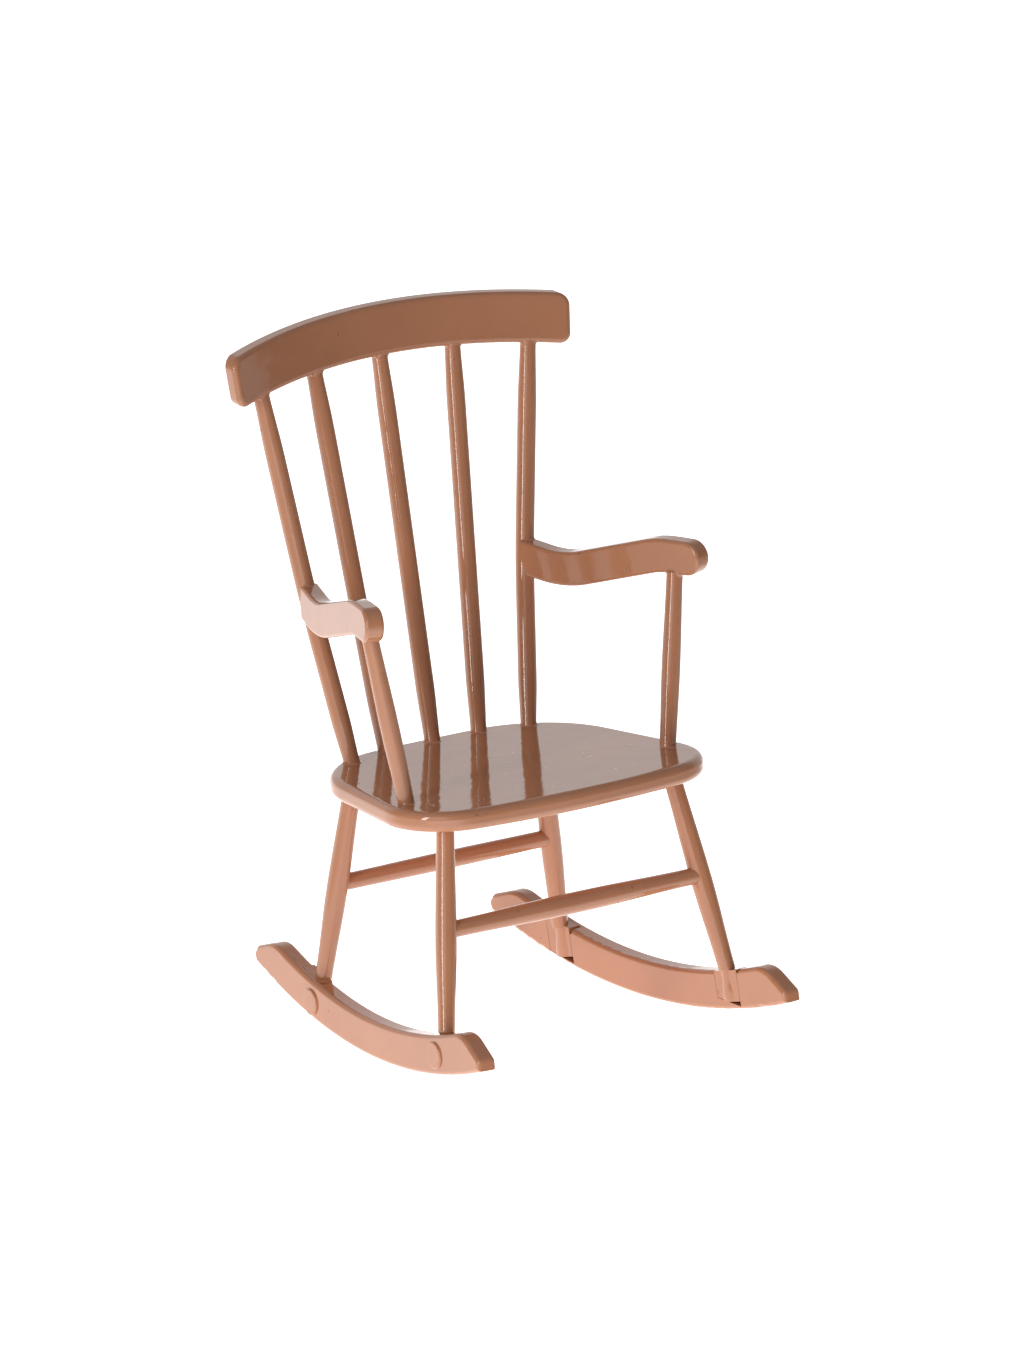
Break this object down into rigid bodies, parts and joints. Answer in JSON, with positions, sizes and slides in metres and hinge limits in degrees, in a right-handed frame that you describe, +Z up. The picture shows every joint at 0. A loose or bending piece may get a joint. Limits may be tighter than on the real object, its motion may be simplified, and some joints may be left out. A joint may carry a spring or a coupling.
{
  "type": "miniature spindle back rocking chair",
  "caption": "Miniature metal rocking chair with a spindle back, scrolled arms and a smooth seat, enamelled in glossy dusty rose.",
  "frame": {"origin": "on the floor at the plane of symmetry, on the line where the two rockers touch the floor at rest", "axes": "+Z up, -Y towards the front of the chair, +X to the sitter's left; the chair is at rest, balanced on its rockers"},
  "size_m": [0.0654, 0.0802, 0.1086],
  "materials": {
    "enamel": "glossy"
  },
  "bodies": {
    "root": {"arm_left": "enamel", "arm_post_left": "enamel", "arm_post_right": "enamel", "arm_right": "enamel", "back_post_left": "enamel", "back_post_right": "enamel", "crest_rail": "enamel", "leg_front_left": "enamel", "leg_front_right": "enamel", "leg_rear_left": "enamel", "leg_rear_right": "enamel", "pin_front_left": "enamel", "pin_front_right": "enamel", "pin_rear_left": "enamel", "pin_rear_right": "enamel", "rocker_left": "enamel", "rocker_right": "enamel", "seat": "enamel", "spindle_centre": "enamel", "spindle_left": "enamel", "spindle_right": "enamel", "stretcher_front": "enamel", "stretcher_rear": "enamel"}
  },
  "joints": []
}
